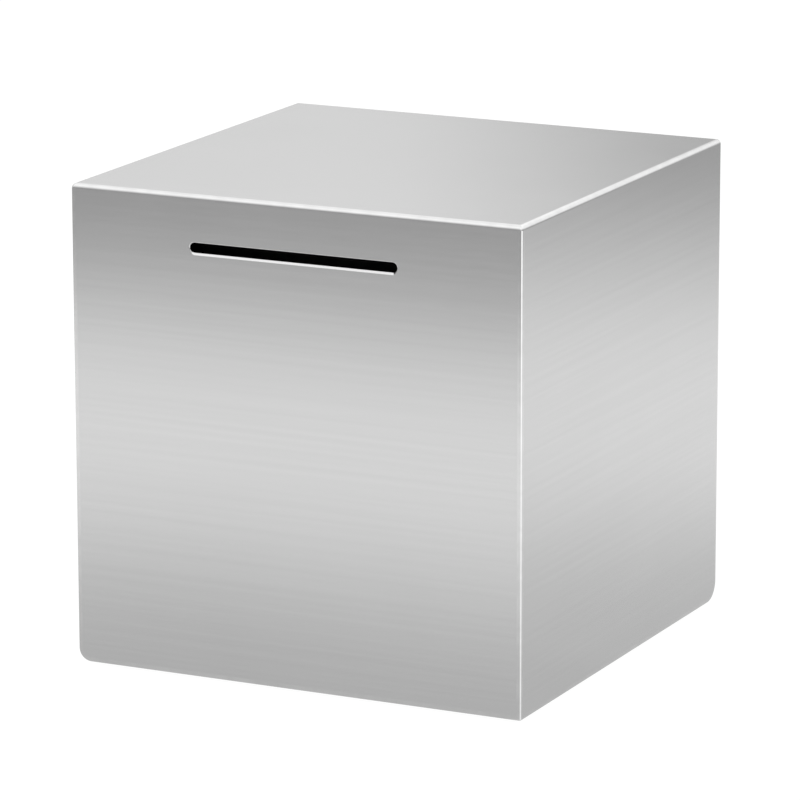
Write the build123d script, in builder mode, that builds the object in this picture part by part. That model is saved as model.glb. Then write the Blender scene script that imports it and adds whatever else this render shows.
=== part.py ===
from build123d import *
import os

# Cube money box of welded stainless-steel sheet. The base, the left wall and the rear wall are bent
# from one blank. The front wall, the right wall and the top are flat plates, and every edge but
# the two bends is welded and ground to a quarter round. Behind the slot hangs a folded guard, and
# the base stands on four stick-on pads.
#
# Millimetres. The origin is on the surface the box stands on, below the centre of the cube:
# +X to the right, +Y to the rear, +Z up. The slot is in the front wall, which faces -Y.

os.makedirs("parts", exist_ok=True)

# Cube
CUBE = 200.0  # outside width, depth and height of the steel cube
SHEET = 1.5  # thickness of base, walls and top plate
LEFT_BEND_R = 5.5  # outside radius of the bend along the base's left edge
REAR_BEND_R = 8.5  # outside radius of the bend along the base's rear edge
WELD_R = 1.0  # outside radius of the ground welds up the corners and along the base
TOP_R = 2.0  # outside radius of the ground welds round the top
ROOT_GAP = 0.5  # how far a sheet edge stops short of its corner, for the weld to fill

# Money slot, round-ended
SLOT_LENGTH = 92.0
SLOT_HEIGHT = 4.2
SLOT_RISE = 178.3  # centre of the slot above the cube's base
DEBURR_R = 0.4
LIP_BEVEL = 0.8  # 45 degree bevel along the outside of the lower lip
LIP_CUTTER_R = 1.6  # radius at the wall's face of the cone that cuts the bevel

# Guard behind the slot
GUARD_SHEET = 1.0
GUARD_WIDTH = 110.0
GUARD_CLEARANCE = 3.0  # from the slot's upper edge to the underside of the shelf
GUARD_FLANGE = 12.0  # height of the flange on the wall
GUARD_SHELF = 14.0  # reach of the level shelf
GUARD_APRON = 30.0  # how far the apron goes inwards, and how far down
GUARD_BEND_R = 1.0  # inside radius of its two bends
GUARD_CORNER_R = 5.0  # round lower corners of the apron
PLUG_R = 2.5
PLUG_COUNT = 4
PLUG_PITCH = 30.0
PLUG_CROWN = 0.4  # how far a plug weld stands proud of the flange
PLUG_EDGE_R = 0.35  # rounding of its rim

# Pads under the base
PAD_R = 10.0
PAD_THICKNESS = 1.8
PAD_EDGE_R = 0.5
PAD_INSET = 22.0  # from the cube's sides to a pad's centre
ADHESIVE_R = 9.5
ADHESIVE_THICKNESS = 0.2

# Derived positions
BASE_Z = PAD_THICKNESS + ADHESIVE_THICKNESS
TOP_Z = BASE_Z + CUBE
HALF = CUBE / 2
INNER = HALF - SHEET  # inside faces of the walls
SEAM = INNER - ROOT_GAP  # where sheet ends and weld begins
SEAM_WIDTH = HALF - SEAM
SEAM_Z = TOP_Z - SEAM_WIDTH  # upper edges of the walls
SLOT_Z = BASE_Z + SLOT_RISE
PAD_SPACING = CUBE - 2 * PAD_INSET

# Quarter turns about Z from the front wall, and from the front right corner
SIDES = {"front": 0, "right": 90, "rear": 180, "left": 270}
CORNERS = {"front_right": 0, "rear_right": 90, "rear_left": 180, "front_left": 270}

# How far each upright weld spreads at its foot, along one wall and along the other, and the foot's
# height: it follows the end of a bend, and it fills the relief notch where the two bends meet
WELD_FEET = {
    "front_right": (SEAM_WIDTH, SEAM_WIDTH, SEAM_WIDTH),
    "rear_right": (REAR_BEND_R, SEAM_WIDTH, REAR_BEND_R),
    "rear_left": (LEFT_BEND_R, REAR_BEND_R, REAR_BEND_R),
    "front_left": (SEAM_WIDTH, LEFT_BEND_R, LEFT_BEND_R),
}


def finish(piece, name):
    """Label a finished piece and write it out under the same name."""
    piece.label = name
    export_step(piece, f"parts/{name}.step")


def lower_edges(block):
    """The edges of a block's underside, by side."""
    edges = block.faces().sort_by(Axis.Z)[0].edges()
    by_x, by_y = edges.sort_by(Axis.X), edges.sort_by(Axis.Y)
    return {"front": by_y[0], "right": by_x[-1], "rear": by_y[-1], "left": by_x[0]}


def bent_block(size, left_r, rear_r):
    """A cube of a given size about the steel cube's centre, with two bends along its underside."""
    blocks = []
    for side, radius in (("left", left_r), ("rear", rear_r)):
        with BuildPart() as block:
            with BuildSketch(Plane.XY.offset(BASE_Z + (CUBE - size) / 2)):
                Rectangle(size, size)
            extrude(amount=size)
            fillet(lower_edges(block)[side], radius)
        blocks.append(block.part)
    return blocks[0] & blocks[1]


# Outer form of the cube: two bends along the base, ground welds along every other edge
with BuildPart() as outer_form:
    add(bent_block(CUBE, LEFT_BEND_R, REAR_BEND_R))
    open_edges = lower_edges(outer_form)
    uprights = outer_form.edges().filter_by(Axis.Z)
    fillet([open_edges["front"], open_edges["right"], *uprights], WELD_R)
    fillet(outer_form.faces().sort_by(Axis.Z)[-1].edges(), TOP_R)

# All the sheet and weld metal of the cube, before it is divided at its seams
with BuildPart() as cube_metal:
    add(outer_form.part)
    add(bent_block(2 * INNER, LEFT_BEND_R - SHEET, REAR_BEND_R - SHEET), mode=Mode.SUBTRACT)


def wall_outline(bend_end, bend_r):
    """A flat wall's outline, with its lower corner rounded at the end (0 or -1) that sits in a bend."""
    with BuildSketch() as outline:
        with Locations((0, (BASE_Z + SEAM_WIDTH + SEAM_Z) / 2)):
            Rectangle(2 * SEAM, SEAM_Z - BASE_Z - SEAM_WIDTH)
        lower_corners = outline.vertices().group_by(Axis.Y)[0].sort_by(Axis.X)
        fillet(lower_corners[bend_end], bend_r - SEAM_WIDTH)
    return outline.sketch


# Right wall, a flat plate
with BuildPart() as right_wall:
    with BuildSketch(Plane.YZ.offset(INNER)):
        add(wall_outline(-1, REAR_BEND_R))
    extrude(amount=SHEET)
finish(right_wall.part, "right_wall")

# Front wall, a flat plate with the slot
with BuildPart() as front_wall:
    with BuildSketch(Plane.XZ.offset(INNER)):
        add(wall_outline(0, LEFT_BEND_R))
    extrude(amount=SHEET)
    with BuildSketch(Plane.XZ.offset(HALF)):
        with Locations((0, SLOT_Z)):
            SlotOverall(SLOT_LENGTH, SLOT_HEIGHT)
    extrude(amount=-SHEET, mode=Mode.SUBTRACT)
    slot_edges = front_wall.edges().filter_by_position(
        Axis.Z, SLOT_Z - SLOT_HEIGHT / 2, SLOT_Z + SLOT_HEIGHT / 2
    )
    fillet(slot_edges.filter_by(Plane.XZ), DEBURR_R)
    with BuildSketch(Plane.XZ.offset(HALF)):
        with Locations((0, SLOT_Z - SLOT_HEIGHT / 2 - LIP_BEVEL + LIP_CUTTER_R)):
            SlotOverall(SLOT_LENGTH - SLOT_HEIGHT + 2 * LIP_CUTTER_R, 2 * LIP_CUTTER_R)
    extrude(amount=-LIP_BEVEL, taper=45, mode=Mode.SUBTRACT)
finish(front_wall.part, "front_wall")


def corner_region(corner):
    """The space of one upright weld: a square column and its foot, clear of the flat walls."""
    column = (SEAM_WIDTH, SEAM_WIDTH, SEAM_Z - BASE_Z)
    with BuildPart() as region:
        for width, depth, height in (column, WELD_FEET[corner]):
            with BuildSketch(Plane.XY.offset(BASE_Z).rotated((0, 0, CORNERS[corner]))):
                with Locations((HALF, -HALF)):
                    Rectangle(width, depth, align=(Align.MAX, Align.MIN))
            extrude(amount=height)
        add([right_wall.part, front_wall.part], mode=Mode.SUBTRACT)
    return region.part


# Base, left wall and rear wall, bent from one blank
with BuildPart() as folded_shell:
    with BuildSketch(Plane.XY.offset(BASE_Z)):
        with Locations((SEAM, -SEAM)):
            Rectangle(HALF + SEAM, HALF + SEAM, align=(Align.MAX, Align.MIN))
    extrude(amount=SEAM_Z - BASE_Z)
    add(cube_metal.part, mode=Mode.INTERSECT)
    add(corner_region("rear_left"), mode=Mode.SUBTRACT)
finish(folded_shell.part, "folded_shell")

# Top plate, let in between the walls' upper edges
with BuildPart() as top_plate:
    with BuildSketch(Plane.XY.offset(TOP_Z - SHEET)):
        Rectangle(2 * SEAM, 2 * SEAM)
    extrude(amount=SHEET)
finish(top_plate.part, "top_plate")

# Weld beads along the top, mitred into each other at the corners
for side, angle in SIDES.items():
    with BuildPart() as top_weld:
        with BuildSketch(Plane.XY.offset(SEAM_Z).rotated((0, 0, angle))):
            with BuildLine():
                Polyline((-HALF, -HALF), (HALF, -HALF), (SEAM, -SEAM), (-SEAM, -SEAM), close=True)
            make_face()
        extrude(amount=SEAM_WIDTH)
        add(cube_metal.part, mode=Mode.INTERSECT)
    finish(top_weld.part, f"top_weld_{side}")

# Upright weld beads, each with its foot
for corner in CORNERS:
    with BuildPart() as corner_weld:
        add(corner_region(corner))
        add(cube_metal.part, mode=Mode.INTERSECT)
    finish(corner_weld.part, f"corner_weld_{corner}")

# Weld beads along the base, each from the front right upright to where a bend starts
for side, start, end in (("front", LEFT_BEND_R - HALF, SEAM), ("right", -SEAM, HALF - REAR_BEND_R)):
    with BuildPart() as base_weld:
        with BuildSketch(Plane.XY.offset(BASE_Z).rotated((0, 0, SIDES[side]))):
            with Locations((end, -HALF)):
                Rectangle(end - start, SEAM_WIDTH, align=(Align.MAX, Align.MIN))
        extrude(amount=SEAM_WIDTH)
        add(cube_metal.part, mode=Mode.INTERSECT)
    finish(base_weld.part, f"base_weld_{side}")

# Guard: a flange on the wall above the slot, a level shelf and an apron that slopes down at 45
# degrees, so that what is pushed in slides down and can't be shaken out
shelf_z = SLOT_Z + SLOT_HEIGHT / 2 + GUARD_CLEARANCE
flange_top_z = shelf_z + GUARD_FLANGE
plug_z = shelf_z + (GUARD_FLANGE + GUARD_SHEET) / 2
with BuildPart() as slot_guard:
    with BuildSketch(Plane.YZ.offset(-GUARD_WIDTH / 2)):
        with BuildLine():
            FilletPolyline(
                (-INNER, flange_top_z),
                (-INNER, shelf_z),
                (-INNER + GUARD_SHELF, shelf_z),
                (-INNER + GUARD_SHELF + GUARD_APRON, shelf_z - GUARD_APRON),
                radius=[GUARD_BEND_R + GUARD_SHEET, GUARD_BEND_R],
            )
            offset(amount=GUARD_SHEET, side=Side.LEFT)
        make_face()
    extrude(amount=GUARD_WIDTH)
    apron_ends = slot_guard.edges().filter_by(Axis.X, reverse=True).group_by(Axis.Z)[0]
    fillet(apron_ends.filter_by(GeomType.LINE), GUARD_CORNER_R)
    with BuildSketch(Plane.XZ.offset(INNER)):
        with Locations((0, plug_z)):
            with GridLocations(PLUG_PITCH, 0, PLUG_COUNT, 1):
                Circle(PLUG_R)
    extrude(amount=-GUARD_SHEET, mode=Mode.SUBTRACT)
finish(slot_guard.part, "slot_guard")

# Plug welds that fill the flange's holes, slightly crowned
with BuildPart() as guard_plug_welds:
    with BuildSketch(Plane.XZ.offset(INNER)):
        with Locations((0, plug_z)):
            with GridLocations(PLUG_PITCH, 0, PLUG_COUNT, 1):
                Circle(PLUG_R)
    extrude(amount=-(GUARD_SHEET + PLUG_CROWN))
    fillet(guard_plug_welds.edges().group_by(Axis.Y)[-1], PLUG_EDGE_R)
finish(guard_plug_welds.part, "guard_plug_welds")

# Stick-on pads and their adhesive discs
for corner, angle in CORNERS.items():
    with BuildPart() as foot_pad:
        with BuildSketch(Plane.XY.rotated((0, 0, angle))):
            with Locations((PAD_SPACING / 2, -PAD_SPACING / 2)):
                Circle(PAD_R)
        extrude(amount=PAD_THICKNESS)
        fillet(foot_pad.edges().sort_by(Axis.Z)[0], PAD_EDGE_R)
    finish(foot_pad.part, f"foot_pad_{corner}")

    with BuildPart() as foot_adhesive:
        with BuildSketch(Plane.XY.offset(PAD_THICKNESS).rotated((0, 0, angle))):
            with Locations((PAD_SPACING / 2, -PAD_SPACING / 2)):
                Circle(ADHESIVE_R)
        extrude(amount=ADHESIVE_THICKNESS)
    finish(foot_adhesive.part, f"foot_adhesive_{corner}")
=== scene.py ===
import math

import bpy
from mathutils import Matrix, Vector


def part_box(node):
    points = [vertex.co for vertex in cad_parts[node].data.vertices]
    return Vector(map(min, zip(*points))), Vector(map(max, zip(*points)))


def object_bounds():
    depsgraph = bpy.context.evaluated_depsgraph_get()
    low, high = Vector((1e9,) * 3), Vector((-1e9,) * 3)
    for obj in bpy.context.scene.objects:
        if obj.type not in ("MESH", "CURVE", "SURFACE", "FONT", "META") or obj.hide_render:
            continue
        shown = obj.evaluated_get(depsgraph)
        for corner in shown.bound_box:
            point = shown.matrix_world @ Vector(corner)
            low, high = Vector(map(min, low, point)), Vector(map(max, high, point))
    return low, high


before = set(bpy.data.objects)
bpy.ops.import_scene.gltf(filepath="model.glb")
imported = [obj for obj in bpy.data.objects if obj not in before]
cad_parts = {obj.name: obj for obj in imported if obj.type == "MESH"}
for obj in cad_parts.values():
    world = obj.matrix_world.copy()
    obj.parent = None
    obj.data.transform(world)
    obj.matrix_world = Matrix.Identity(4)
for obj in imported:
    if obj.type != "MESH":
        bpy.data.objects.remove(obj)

cad_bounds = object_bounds()

# ---------------------------------------------------------------- sizes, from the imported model
cad_low, cad_high = cad_bounds
shell_low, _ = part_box("folded_shell")
CUBE = cad_high[0] - cad_low[0]
HALF = CUBE / 2
BASE_Z = shell_low[2]  # the pads lift the steel off the floor

# ---------------------------------------------------------------- camera
# Place in cube widths from the centre of the cube's base, and angles in degrees
CAMERA_PLACE = Vector((4.691, -9.647, 3.083))
AZIMUTH = 25.969
ELEVATION = 13.572
ROLL = -0.127
LENS_MM = 239.06
SENSOR_MM = 36.0
FAR_CLIP = 50  # metres


def make_camera():
    data = bpy.data.cameras.new("camera")
    data.lens = LENS_MM
    data.sensor_width = SENSOR_MM
    data.clip_end = FAR_CLIP
    camera = bpy.data.objects.new("camera", data)
    bpy.context.scene.collection.objects.link(camera)
    turn = Matrix.Rotation(math.radians(AZIMUTH), 4, "Z")
    tilt = Matrix.Rotation(math.radians(90 - ELEVATION), 4, "X")
    roll = Matrix.Rotation(math.radians(ROLL), 4, "Z")
    place = Matrix.Translation(CAMERA_PLACE * CUBE + Vector((0, 0, BASE_Z)))
    camera.matrix_world = place @ turn @ tilt @ roll
    bpy.context.scene.camera = camera


# ---------------------------------------------------------------- node helpers
# Spans of a noise's values, for spreading them over a range of colour or roughness
MOST_NOISE = (0.3, 0.7)
MIDDLE_NOISE = (0.35, 0.65)
HIGH_NOISE = (0.5, 0.8)
NOISE_PEAKS = (0.55, 0.7)


class Graph:
    """A material's node tree, with short calls for the nodes that the finishes below share."""

    def __init__(self, material):
        material.use_nodes = True
        self.tree = material.node_tree
        self.tree.nodes.clear()
        self.out = self.node("ShaderNodeOutputMaterial")

    def node(self, kind, **settings):
        made = self.tree.nodes.new(kind)
        for name, value in settings.items():
            setattr(made, name, value)
        return made

    def feed(self, socket, value):
        """Link an output to a socket, or set a plain value on it."""
        if isinstance(value, bpy.types.NodeSocket):
            self.tree.links.new(value, socket)
        else:
            socket.default_value = value

    def math(self, operation, a, b=0.0):
        made = self.node("ShaderNodeMath", operation=operation)
        self.feed(made.inputs[0], a)
        self.feed(made.inputs[1], b)
        return made.outputs[0]

    def pack(self, x, y, z):
        made = self.node("ShaderNodeCombineXYZ")
        for socket, value in zip(made.inputs, (x, y, z)):
            self.feed(socket, value)
        return made.outputs[0]

    def weighted(self, *terms):
        """The sum of (value, weight) terms."""
        total = None
        for value, weight in terms:
            term = self.math("MULTIPLY", value, weight)
            total = term if total is None else self.math("ADD", total, term)
        return total

    def noise(self, vector, scale, detail=2.0):
        made = self.node("ShaderNodeTexNoise")
        self.feed(made.inputs["Vector"], vector)
        made.inputs["Scale"].default_value = scale
        made.inputs["Detail"].default_value = detail
        return made.outputs[0]

    def spread(self, value, to_low, to_high, span=MOST_NOISE):
        """Map a value over a span of noise to to_low..to_high, held at the ends."""
        made = self.node("ShaderNodeMapRange")
        for socket, number in zip(made.inputs, (value, *span, to_low, to_high)):
            self.feed(socket, number)
        return made.outputs[0]

    def shade(self, value, low_colour, high_colour, span=MOST_NOISE):
        """Blend two colours by a value over a span of noise."""
        made = self.node("ShaderNodeMix", data_type="RGBA")
        self.feed(made.inputs["Factor"], self.spread(value, 0.0, 1.0, span))
        self.feed(made.inputs["A"], low_colour)
        self.feed(made.inputs["B"], high_colour)
        return made.outputs["Result"]

    def bump(self, height, distance, strength):
        made = self.node("ShaderNodeBump")
        made.inputs["Strength"].default_value = strength
        made.inputs["Distance"].default_value = distance
        self.feed(made.inputs["Height"], height)
        return made.outputs[0]

    def principled(self, metallic, colour, roughness):
        """A principled shader on the surface."""
        made = self.node("ShaderNodeBsdfPrincipled")
        made.inputs["Metallic"].default_value = metallic
        self.feed(made.inputs["Base Color"], colour)
        self.feed(made.inputs["Roughness"], roughness)
        self.feed(self.out.inputs["Surface"], made.outputs[0])
        return made


def grey(value, warmth=0.0):
    return (value + warmth, value, value - warmth, 1.0)


# ---------------------------------------------------------------- finishes
# Lengths are in metres, and noise scales are per metre
FINE_MARK_LENGTH, FINE_MARK_WIDTH = 0.012, 0.00012
STREAK_LENGTH, STREAK_WIDTH = 0.25, 0.0022
SHEET_CLOUDS = 22.0
SHEET_ANISOTROPY = 0.3
ACROSS_THE_GRAIN = 0.25  # of a turn, from the tangent that runs along the brush marks
LEVEL_NORMAL = 0.7  # a face whose normal is more upright than this is a level one

WELD_MARKS, WELD_RIPPLES = 2600.0, 160.0
MILL_GRAIN, MILL_CLOUDS = 1800.0, 40.0
PLUG_RIPPLES = 900.0
RUBBER_GRAIN, RUBBER_DUST = 2200.0, 260.0
FILM_BUBBLES = 1500.0

STRAW_TINT = (0.42, 0.33, 0.22, 1.0)
BLUE_TINT = (0.25, 0.28, 0.38, 1.0)


def object_place(g):
    return g.node("ShaderNodeTexCoord").outputs["Object"]


def grain_space(g):
    """A place, and how far along and across a level brush grain it is, on upright and level faces."""
    coordinates = g.node("ShaderNodeTexCoord")
    place = g.node("ShaderNodeSeparateXYZ")
    g.feed(place.inputs[0], coordinates.outputs["Object"])
    facing = g.node("ShaderNodeSeparateXYZ")
    g.feed(facing.inputs[0], coordinates.outputs["Normal"])
    x, y, z = place.outputs
    level = g.math("GREATER_THAN", g.math("ABSOLUTE", facing.outputs[2]), LEVEL_NORMAL)
    upright = g.math("SUBTRACT", 1.0, level)
    along = g.math("ADD", x, g.math("MULTIPLY", y, upright))
    across = g.math("ADD", g.math("MULTIPLY", y, level), g.math("MULTIPLY", z, upright))
    return coordinates.outputs["Object"], along, across


def streaks(g, along, across, length, width, detail=2.0):
    """Noise drawn out into streaks of a given length and width."""
    stretched = g.pack(g.math("DIVIDE", along, length), g.math("DIVIDE", across, width), 0.0)
    return g.noise(stretched, 1.0, detail)


def satin_steel(material, tangent_axis):
    """Stainless sheet brushed level: fine grain, faint longer streaks, and a soft large-scale unevenness."""
    g = Graph(material)
    place, along, across = grain_space(g)
    fine = streaks(g, along, across, FINE_MARK_LENGTH, FINE_MARK_WIDTH)
    long = streaks(g, along, across, STREAK_LENGTH, STREAK_WIDTH, 3.0)
    cloud = g.noise(place, SHEET_CLOUDS)
    tone = g.weighted((fine, 0.3), (long, 0.45), (cloud, 0.25))
    unevenness = g.weighted((fine, 0.7), (cloud, 0.3))
    steel = g.principled(1.0, g.shade(tone, grey(0.643), grey(0.687)), g.spread(unevenness, 0.165, 0.195))
    steel.inputs["Anisotropic"].default_value = SHEET_ANISOTROPY
    steel.inputs["Anisotropic Rotation"].default_value = ACROSS_THE_GRAIN
    g.feed(steel.inputs["Normal"], g.bump(fine, 0.000003, 0.25))
    tangent = g.node("ShaderNodeTangent", direction_type="RADIAL", axis=tangent_axis)
    g.feed(steel.inputs["Tangent"], tangent.outputs[0])


def ground_weld(material):
    """Weld bead ground flush and polished: a little brighter than the sheet, with fine belt marks."""
    g = Graph(material)
    place = object_place(g)
    marks = g.noise(place, WELD_MARKS, 3.0)
    ripple = g.noise(place, WELD_RIPPLES)
    colour = g.shade(ripple, grey(0.67), grey(0.71), MIDDLE_NOISE)
    weld = g.principled(1.0, colour, g.spread(marks, 0.16, 0.2))
    g.feed(weld.inputs["Normal"], g.bump(ripple, 0.00002, 0.3))


def mill_steel(material):
    """Cold-rolled sheet as it comes from the mill: dull, with an even fine grain."""
    g = Graph(material)
    place = object_place(g)
    grain = g.noise(place, MILL_GRAIN, 3.0)
    cloud = g.noise(place, MILL_CLOUDS, 3.0)
    steel = g.principled(1.0, g.shade(cloud, grey(0.42), grey(0.5)), g.spread(grain, 0.4, 0.52))
    g.feed(steel.inputs["Normal"], g.bump(grain, 0.00001, 0.3))


def raw_weld(material):
    """Plug weld left as it cooled: rippled, with a straw and blue heat tint."""
    g = Graph(material)
    ripple = g.noise(object_place(g), PLUG_RIPPLES, 3.0)
    colour = g.shade(ripple, STRAW_TINT, BLUE_TINT, MIDDLE_NOISE)
    weld = g.principled(1.0, colour, g.spread(ripple, 0.35, 0.5))
    g.feed(weld.inputs["Normal"], g.bump(ripple, 0.0001, 0.5))


def foot_rubber(material):
    """Black rubber with a fine moulded grain and a little dust."""
    g = Graph(material)
    place = object_place(g)
    grain = g.noise(place, RUBBER_GRAIN)
    dust = g.noise(place, RUBBER_DUST, 4.0)
    colour = g.shade(dust, grey(0.018), grey(0.05, 0.003), HIGH_NOISE)
    rubber = g.principled(0.0, colour, g.spread(grain, 0.62, 0.8))
    g.feed(rubber.inputs["Normal"], g.bump(grain, 0.00005, 0.5))


def adhesive(material):
    """Milky pressure-sensitive film with small trapped bubbles."""
    g = Graph(material)
    bubbles = g.noise(object_place(g), FILM_BUBBLES, 1.0)
    colour = g.shade(bubbles, grey(0.74, 0.03), grey(0.86, 0.02), NOISE_PEAKS)
    g.principled(0.0, colour, g.spread(bubbles, 0.45, 0.6))


def new_material(name, build, *settings):
    material = bpy.data.materials.new(name)
    build(material, *settings)
    return material


def dress():
    """Give every node its finish."""
    walls = new_material("satin_steel_walls", satin_steel, "Z")
    welds = new_material("ground_weld_bead", ground_weld)
    finishes = {
        "folded_shell": walls,
        "front_wall": walls,
        "right_wall": walls,
        "top_plate": new_material("satin_steel_top", satin_steel, "Y"),
        "top_weld": welds,
        "corner_weld": welds,
        "base_weld": welds,
        "slot_guard": new_material("mill_steel_guard", mill_steel),
        "guard_plug_welds": new_material("raw_weld_plugs", raw_weld),
        "foot_pad": new_material("foot_rubber_black", foot_rubber),
        "foot_adhesive": new_material("adhesive_film", adhesive),
    }
    for name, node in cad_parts.items():
        finish = next(f for start, f in finishes.items() if name.startswith(start))
        for slot in node.material_slots:
            slot.material = finish


# ---------------------------------------------------------------- stage
FLOOR_REACH = 6.0
FLOOR_GREY, FLOOR_GLOW = 0.08, 0.97
SOFTBOX_PLACE = Vector((-0.5, -0.3, 1.6))
SOFTBOX_WIDTH, SOFTBOX_WATTS = 1.2, 3.0

# The tent that the steel reflects: a table, and a dome whose wall rises to a roof. Brightness is relative to
# the white background. Angles are in degrees, and azimuth turns from the cube's right to its rear. Distances
# on the table are in metres from the cube. A pair is a start and an end, between which the light changes.
TENT_RADIUS = 1.0
TENT_FLOOR_Z = -0.002
SECTORS, RINGS, LIFTS = 180, 60, 48  # of its mesh
FRONT = {"near": 0.63, "peak": 1.09, "rise": 0.41, "fall": (0.52, 0.79), "skirt": 0.37, "wall": (5, 55)}
REAR = {"near": 0.66, "peak": 0.97, "rise": 0.35, "fall": (0.46, 1.12), "skirt": 0.43, "wall": (21, 42)}
LEFT = {"skirt": 0.71, "wall": (0, 80)}
LEFT_BEGINS, LEFT_ENDS = (102, 118), (180, 210)
FRONT_TO_REAR = 0.2  # sine of the azimuth up to which front and rear mix
FRONT_RING_POWER, REAR_RING_POWER = 5.0, 2.0  # 2 makes the ring on the table round, 5 nearly square
ROOF, OVERHEAD = 1.38, 1.2
OVERHEAD_RISE = (50, 80)

# A card behind the cube on its right, and one that faces its front right corner
REAR_CARD = 1.2
REAR_CARD_BEGINS, REAR_CARD_ENDS, REAR_CARD_FOOT = (37, 40), (80, 83), (3, 23)
CORNER_CARD_NEAR, CORNER_CARD_FAR = 1.25, 1.65
CORNER_CARD_AZIMUTH = -26
CORNER_CARD_EDGE, CORNER_CARD_TOP = (15, 48), (3, 9)


def smooth(low, high, value):
    """0 at low, 1 at high, with soft ends, and held beyond them."""
    t = min(max((value - low) / (high - low), 0.0), 1.0)
    return t * t * (3 - 2 * t)


def fade(low, high, value):
    """1 below low, 0 above high."""
    return smooth(high, low, value)


def mix(a, b, factor):
    return a + (b - a) * factor


def rearness(azimuth):
    """0 in front of the cube, 1 behind it."""
    return smooth(-FRONT_TO_REAR, FRONT_TO_REAR, math.sin(math.radians(azimuth)))


def table(side, reach):
    """Brightness of the table: dimmer by the cube, brightest in a ring round it, then falling off."""
    ring = mix(side["near"], side["peak"], smooth(0.0, side["rise"], reach))
    return ring - (side["peak"] - side["skirt"]) * smooth(*side["fall"], reach)


def wall(side, elevation):
    """Brightness of the dome, from the wall's skirt up to the roof and the point overhead."""
    roof = mix(ROOF, OVERHEAD, smooth(*OVERHEAD_RISE, elevation))
    return mix(side["skirt"], roof, smooth(*side["wall"], elevation))


def corner_card(x, y):
    """How far a point belongs to the card that faces the cube's front right corner."""
    azimuth = math.degrees(math.atan2(y + HALF, x - HALF))
    return fade(*CORNER_CARD_EDGE, abs(azimuth - CORNER_CARD_AZIMUTH))


def table_glow(x, y):
    power = REAR_RING_POWER if y > 0 else FRONT_RING_POWER
    reach = (abs(x) ** power + abs(y) ** power) ** (1 / power) - HALF
    rear = rearness(math.degrees(math.atan2(y, x)))
    card = mix(CORNER_CARD_NEAR, CORNER_CARD_FAR, smooth(0.0, TENT_RADIUS, reach))
    return mix(mix(table(FRONT, reach), table(REAR, reach), rear), card, corner_card(x, y))


def dome_glow(x, y, azimuth, elevation):
    glow = mix(wall(FRONT, elevation), wall(REAR, elevation), rearness(azimuth))
    left = smooth(*LEFT_BEGINS, azimuth) * fade(*LEFT_ENDS, azimuth)
    glow = mix(glow, wall(LEFT, elevation), left)
    card = smooth(*REAR_CARD_BEGINS, azimuth) * fade(*REAR_CARD_ENDS, azimuth)
    glow = mix(glow, max(REAR_CARD, glow), card * smooth(*REAR_CARD_FOOT, elevation))
    return mix(glow, max(CORNER_CARD_FAR, glow), corner_card(x, y) * fade(*CORNER_CARD_TOP, elevation))


def tent_mesh():
    """The table and the dome in one mesh, with the brightness as a point attribute."""
    points = [(0.0, 0.0, TENT_FLOOR_Z)]
    glow = [table_glow(0.0, 0.0)]
    levels = RINGS + LIFTS
    for i in range(1, levels + 1):
        for j in range(SECTORS):
            azimuth = 2 * math.pi * j / SECTORS
            elevation = math.pi / 2 * (i - RINGS) / (LIFTS + 1)
            radius = TENT_RADIUS * (i / RINGS if i <= RINGS else math.cos(elevation))
            x, y = radius * math.cos(azimuth), radius * math.sin(azimuth)
            if i <= RINGS:
                points.append((x, y, TENT_FLOOR_Z))
                glow.append(table_glow(x, y))
            else:
                points.append((x, y, TENT_RADIUS * math.sin(elevation)))
                glow.append(dome_glow(x, y, math.degrees(azimuth), math.degrees(elevation)))
    points.append((0.0, 0.0, TENT_RADIUS))
    glow.append(OVERHEAD)
    faces = []
    for j in range(SECTORS):
        k = (j + 1) % SECTORS
        faces.append((0, 1 + j, 1 + k))
        for i in range(levels - 1):
            inner, outer = 1 + i * SECTORS, 1 + (i + 1) * SECTORS
            faces.append((inner + j, outer + j, outer + k, inner + k))
        last_ring = 1 + (levels - 1) * SECTORS
        faces.append((last_ring + j, len(points) - 1, last_ring + k))
    mesh = bpy.data.meshes.new("tent")
    mesh.from_pydata(points, [], faces)
    mesh.attributes.new("glow", "FLOAT", "POINT").data.foreach_set("value", glow)
    return mesh


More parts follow.
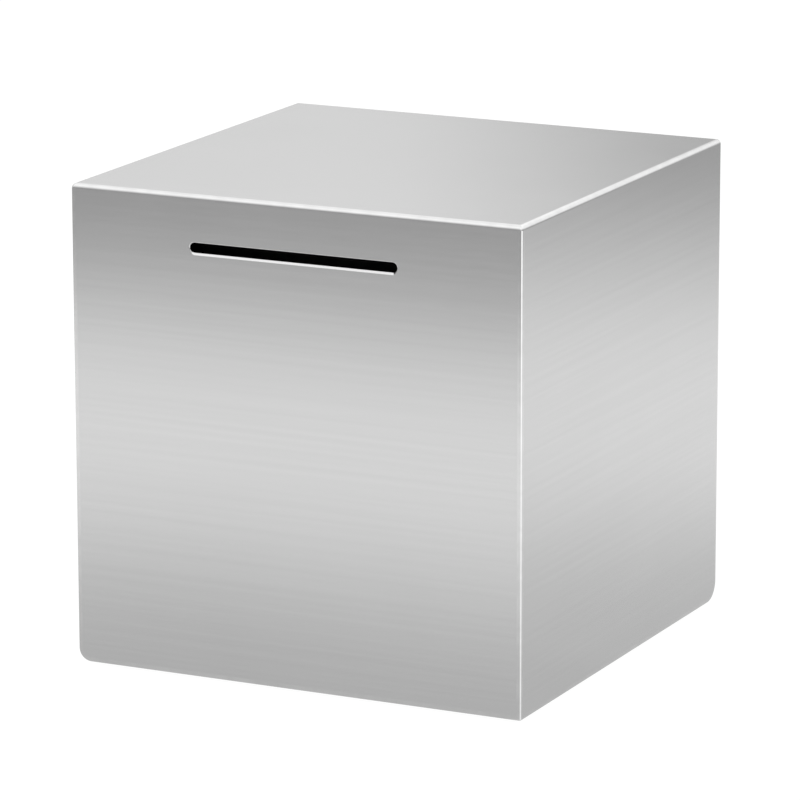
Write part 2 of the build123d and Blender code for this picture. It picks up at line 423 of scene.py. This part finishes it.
def make_tent():
    """The studio's cards and light tent, as the steel reflects them; other rays don't see them."""
    tent = bpy.data.objects.new("tent", tent_mesh())
    bpy.context.scene.collection.objects.link(tent)
    material = bpy.data.materials.new("tent_cards")
    g = Graph(material)
    light = g.node("ShaderNodeEmission")
    g.feed(light.inputs["Strength"], g.node("ShaderNodeAttribute", attribute_name="glow").outputs["Fac"])
    g.feed(g.out.inputs["Surface"], light.outputs[0])
    tent.data.materials.append(material)
    tent.visible_camera = False
    tent.visible_diffuse = False
    tent.visible_shadow = False
    tent.visible_transmission = False


def make_floor():
    """A plain white floor that gives off most of its own light, so that it meets the background unseen."""
    mesh = bpy.data.meshes.new("floor")
    r = FLOOR_REACH
    mesh.from_pydata([(-r, -r, 0), (r, -r, 0), (r, r, 0), (-r, r, 0)], [], [(0, 1, 2, 3)])
    floor = bpy.data.objects.new("floor", mesh)
    bpy.context.scene.collection.objects.link(floor)
    material = bpy.data.materials.new("floor_white")
    g = Graph(material)
    paper = g.principled(0.0, grey(FLOOR_GREY), 0.9)
    paper.inputs["Specular IOR Level"].default_value = 0.0
    paper.inputs["Emission Color"].default_value = grey(1.0)
    paper.inputs["Emission Strength"].default_value = FLOOR_GLOW
    floor.data.materials.append(material)
    floor.visible_glossy = False


def make_light():
    """A white surrounding, and a soft box above that the steel doesn't reflect."""
    world = bpy.data.worlds.new("studio")
    bpy.context.scene.world = world
    world.use_nodes = True
    background = world.node_tree.nodes["Background"]
    background.inputs["Color"].default_value = grey(1.0)
    background.inputs["Strength"].default_value = 1.0
    data = bpy.data.lights.new("softbox", "AREA")
    data.shape = "DISK"
    data.size = SOFTBOX_WIDTH
    data.energy = SOFTBOX_WATTS
    softbox = bpy.data.objects.new("softbox", data)
    softbox.location = SOFTBOX_PLACE
    softbox.rotation_euler = (-SOFTBOX_PLACE).to_track_quat("-Z", "Y").to_euler()
    softbox.visible_glossy = False
    bpy.context.scene.collection.objects.link(softbox)


make_camera()
dress()
make_tent()
make_floor()
make_light()
bpy.context.scene.view_settings.view_transform = "Standard"
